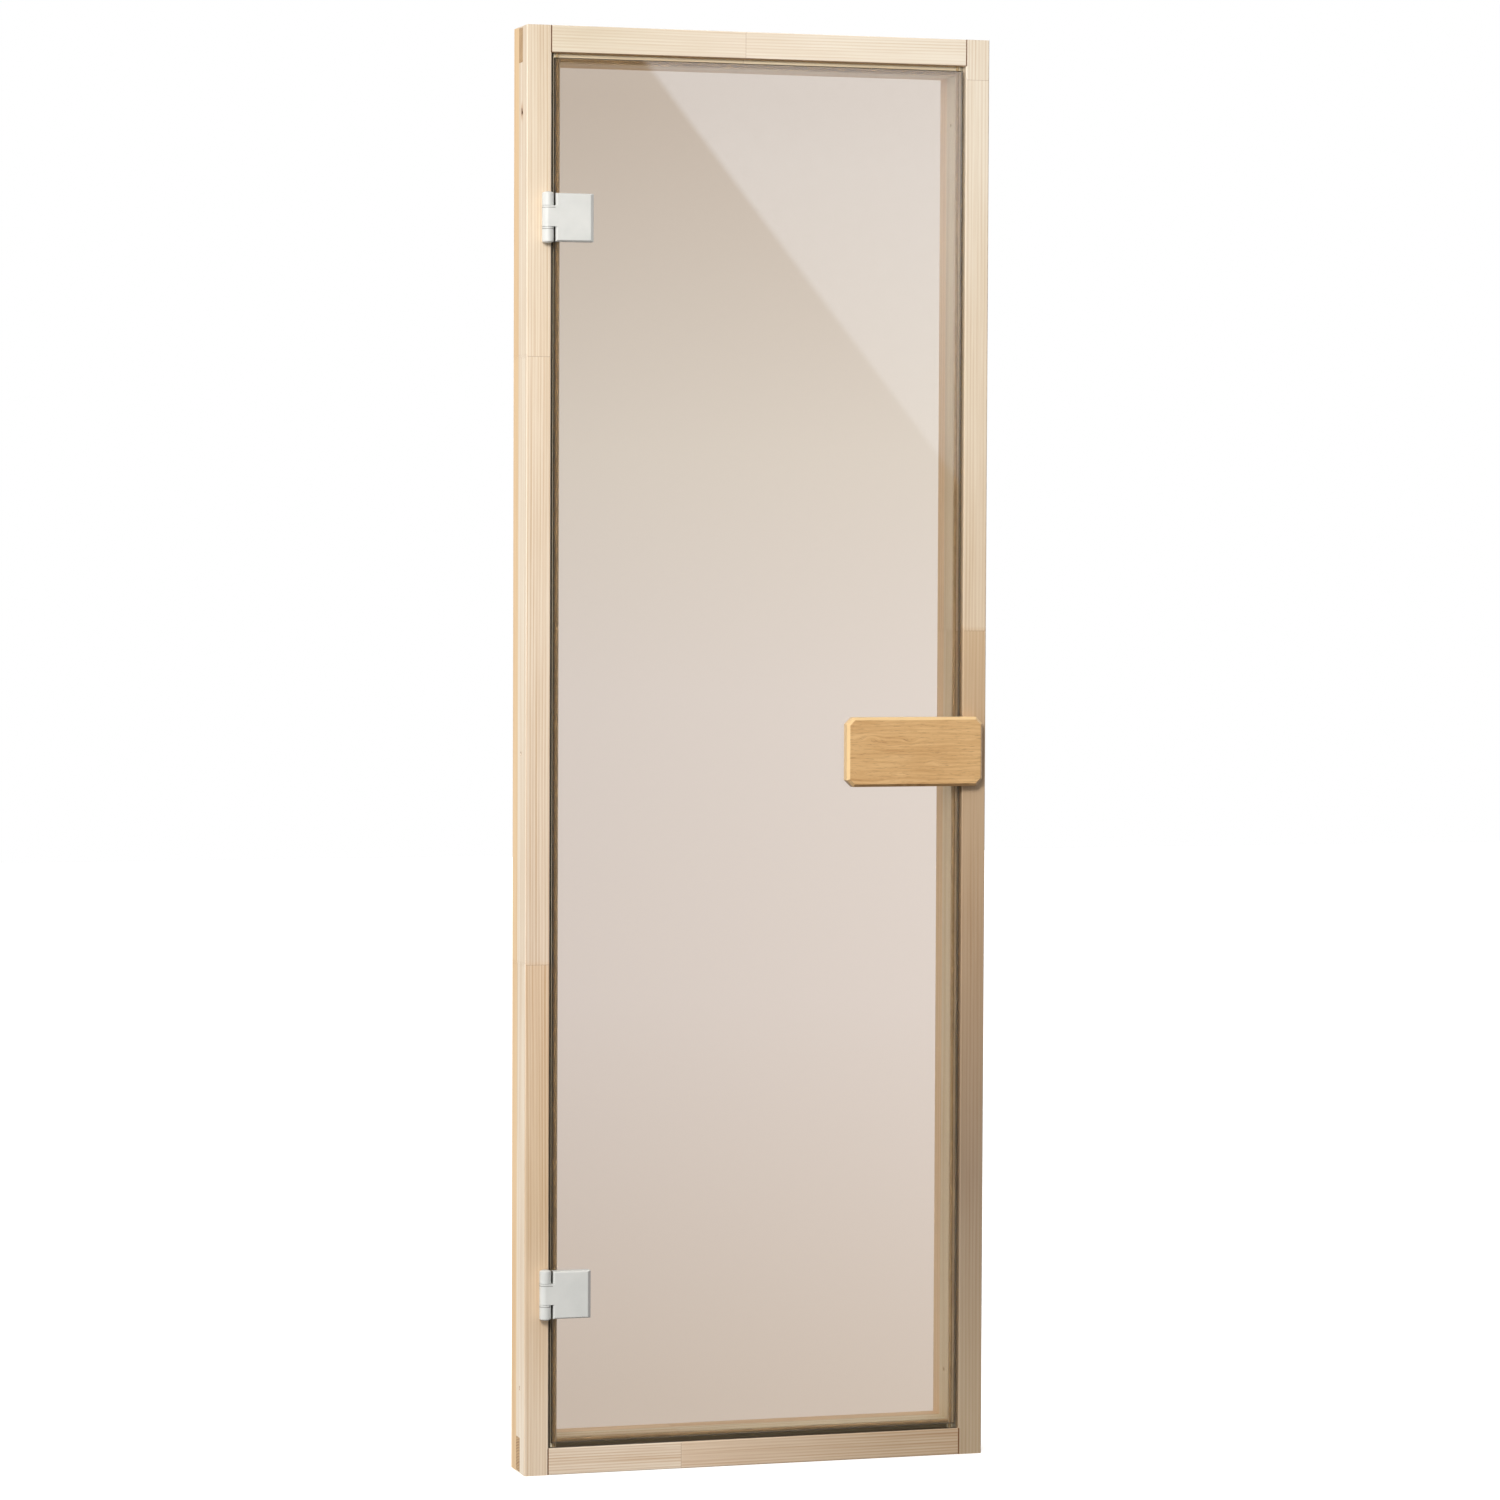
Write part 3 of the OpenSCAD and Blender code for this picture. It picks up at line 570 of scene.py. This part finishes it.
def lit_floor(name):
    """Pale floor with a soft glow that grows behind the door, as a lit studio sweep has."""
    f = Finish(name)
    y = f.axes()[1]
    f.set(Base_Color=(*FLOOR_TONE, 1), Roughness=0.9)
    f.shader.inputs["Emission Color"].default_value = (1, 1, 1, 1)
    f.link(f.span(y, -0.2, 1.2, 0.42, 0.60, soft=True), f.shader.inputs["Emission Strength"])
    return f.mat


FLOOR = 14.0
FLOOR_TONE = (0.90, 0.90, 0.90)
floor = sheet_mesh("studio_floor", [(-FLOOR, -FLOOR, 0), (FLOOR, -FLOOR, 0), (FLOOR, FLOOR, 0),
                                    (-FLOOR, FLOOR, 0)], [(0, 1, 2, 3)], lit_floor("pale_floor"))
# Only the camera sees it, so the pane keeps the backdrop's tone and the wood isn't lit from below
floor.visible_diffuse = False
floor.visible_glossy = False
floor.visible_transmission = False

# A lit wall behind the camera, seen in reflections only: an even warm glow, with the bright
# patch of a window beyond an edge that slants down to the right
CARD_Y = -7.2
# Left, right, bottom and top
CARD = (1.0, 3.4, -1.6, 3.3)
# A point (x, z) of the window's edge, and the way across it
EDGE = (1.816, 2.774, 0.7816, 0.6237)
EDGE_BLUR = 0.014
CARD_BASE = (0.75, 0.60, 0.45)
CARD_WINDOW = (1.66, 2.0, 2.4)


def lit_wall(name):
    """Warm even glow, with a cooler window beyond the slanted edge that grows stronger upwards."""
    f = Finish(name)
    axes = f.axes()
    x, z = axes[0], axes[2]
    height = f.mad(z, 1 / 2.036, 1.388 / 2.036)
    beyond = f.plus(f.times(f.plus(x, -EDGE[0]), EDGE[2]), f.times(f.plus(z, -EDGE[1]), EDGE[3]))
    window = f.span(beyond, -EDGE_BLUR, EDGE_BLUR, soft=True)
    strength = f.times(window, f.span(height, 1.42, 1.90, 0.34, 1.0))
    f.set(Base_Color=(0, 0, 0, 1), Roughness=1.0)
    f.shader.inputs["Specular IOR Level"].default_value = 0.0
    f.link(f.blend(strength, (*CARD_BASE, 1), (*CARD_WINDOW, 1), "ADD"),
           f.shader.inputs["Emission Color"])
    f.shader.inputs["Emission Strength"].default_value = 1.0
    return f.mat


card = sheet_mesh("lit_wall", [(CARD[0], CARD_Y, CARD[2]), (CARD[1], CARD_Y, CARD[2]),
                               (CARD[1], CARD_Y, CARD[3]), (CARD[0], CARD_Y, CARD[3])],
                  [(0, 1, 2, 3)], lit_wall("wall_glow"))
card.visible_camera = False
card.visible_diffuse = False

# Surrounding light: white to the camera; bright behind the door, dimmer in front, dimmest from
# below and the right; and the backdrop's tones by height for what is seen through the glass
world = bpy.data.worlds.new("studio")
bpy.context.scene.world = world
world.use_nodes = True
sky = world.node_tree
back = sky.nodes["Background"]


def sky_node(kind, settings=(), **inputs):
    node = sky.nodes.new("ShaderNode" + kind)
    for key, value in settings:
        setattr(node, key, value)
    for index, value in inputs.items():
        socket = node.inputs[int(index[1:])]
        if isinstance(value, bpy.types.NodeSocket):
            sky.links.new(value, socket)
        else:
            socket.default_value = value
    return node


way = sky_node("TexCoord").outputs["Generated"]
turned = sky_node("SeparateXYZ", i0=way).outputs
FRONT_LEAN = (-0.48, 0.0, 0.34)
FRONT_LEVEL = 0.44
FRONT_LEAST = 0.03
lean = sky_node("VectorMath", [("operation", "DOT_PRODUCT")], i0=way, i1=FRONT_LEAN)
near = sky_node("Math", [("operation", "ADD")], i0=lean.outputs["Value"],
                i1=FRONT_LEVEL).outputs[0]
near = sky_node("Math", [("operation", "MAXIMUM")], i0=near, i1=FRONT_LEAST).outputs[0]
behind = sky_node("MapRange", [("interpolation_type", "SMOOTHSTEP")], i0=turned[1], i1=-0.15,
                  i2=0.30, i3=0.0, i4=1.0).outputs[0]
# Upward part of the direction that the backdrop starts and ends at, and its tones between
RISE_LOW, RISE_HIGH = -0.20, 0.40
rise = sky_node("MapRange", i0=turned[2], i1=RISE_LOW, i2=RISE_HIGH, i3=0.0, i4=1.0).outputs[0]
dome = sky_node("ValToRGB", i0=rise)
BACKDROP = ((-0.17, (0.74, 0.69, 0.65)), (-0.09, (0.87, 0.85, 0.86)), (-0.03, (0.89, 0.88, 0.89)),
            (0.02, (0.86, 0.85, 0.82)), (0.09, (0.69, 0.65, 0.61)), (0.35, (1.0, 1.0, 1.0)))
fill_ramp(dome.color_ramp, [((place - RISE_LOW) / (RISE_HIGH - RISE_LOW), colour)
                            for place, colour in BACKDROP])
to_right = sky_node("MapRange", i0=turned[0], i1=0.25, i2=0.33, i3=-0.03, i4=0.065).outputs[0]
sky_back = sky_node("Mix", [("data_type", "RGBA"), ("blend_type", "ADD")], i0=1.0,
                    i6=dome.outputs["Color"], i7=to_right).outputs[2]
path = sky_node("LightPath").outputs
direct = sky_node("Math", [("operation", "LESS_THAN")], i0=path["Diffuse Depth"], i1=0.5).outputs[0]
through = sky_node("Math", [("operation", "MULTIPLY")], i0=path["Is Transmission Ray"],
                   i1=direct).outputs[0]
behind = sky_node("Math", [("operation", "MAXIMUM")], i0=behind, i1=through).outputs[0]
level = sky_node("Mix", [("data_type", "RGBA")], i0=behind, i6=near, i7=sky_back).outputs[2]
level = sky_node("Mix", [("data_type", "RGBA")], i0=path["Is Camera Ray"], i6=level,
                 i7=(1.0, 1.0, 1.0, 1.0)).outputs[2]
sky.links.new(level, back.inputs["Color"])
back.inputs["Strength"].default_value = 1.0


def softbox(name, place, target, size, power, colour=(1, 1, 1)):
    """A square area light aimed at a point."""
    light = bpy.data.lights.new(name, "AREA")
    light.shape = "SQUARE"
    light.size = size
    light.energy = power
    light.color = colour
    o = bpy.data.objects.new(name, light)
    o.location = place
    o.rotation_mode = "QUATERNION"
    o.rotation_quaternion = (Vector(target) - Vector(place)).to_track_quat("-Z", "Y")
    bpy.context.scene.collection.objects.link(o)
    return o


softbox("key_softbox", (-2.2, -4.0, 3.2), (-0.1, 0, 1.5), 1.3, 158, (1.0, 0.965, 0.92))

# Camera fitted to the photograph's edges: focal length in the photo's pixels, then its turn
FOCAL_PIXELS = 4960.24
PHOTO_PIXELS = 1500
SENSOR = 36
YAW, PITCH, ROLL = 0.29289, 0.04028, 0.00411
cam_data = bpy.data.cameras.new("camera")
cam_data.sensor_width = SENSOR
cam_data.lens = FOCAL_PIXELS / PHOTO_PIXELS * SENSOR
cam = bpy.data.objects.new("camera", cam_data)
bpy.context.scene.collection.objects.link(cam)
forward = Vector((math.sin(YAW) * math.cos(PITCH), math.cos(YAW) * math.cos(PITCH),
                  -math.sin(PITCH)))
right = Vector((math.cos(YAW), -math.sin(YAW), 0))
up = right.cross(forward)
right_rolled = right * math.cos(ROLL) + up * math.sin(ROLL)
up_rolled = up * math.cos(ROLL) - right * math.sin(ROLL)
turn = Matrix((right_rolled, up_rolled, -forward)).transposed()
cam.rotation_mode = "QUATERNION"
cam.rotation_quaternion = turn.to_quaternion()
cam.location = (-1.74858 - WIDTH / 2, -6.91458 + FRONT, 1.34002)
cam_data.clip_end = 100
bpy.context.scene.camera = cam
bpy.context.scene.view_settings.view_transform = "Standard"
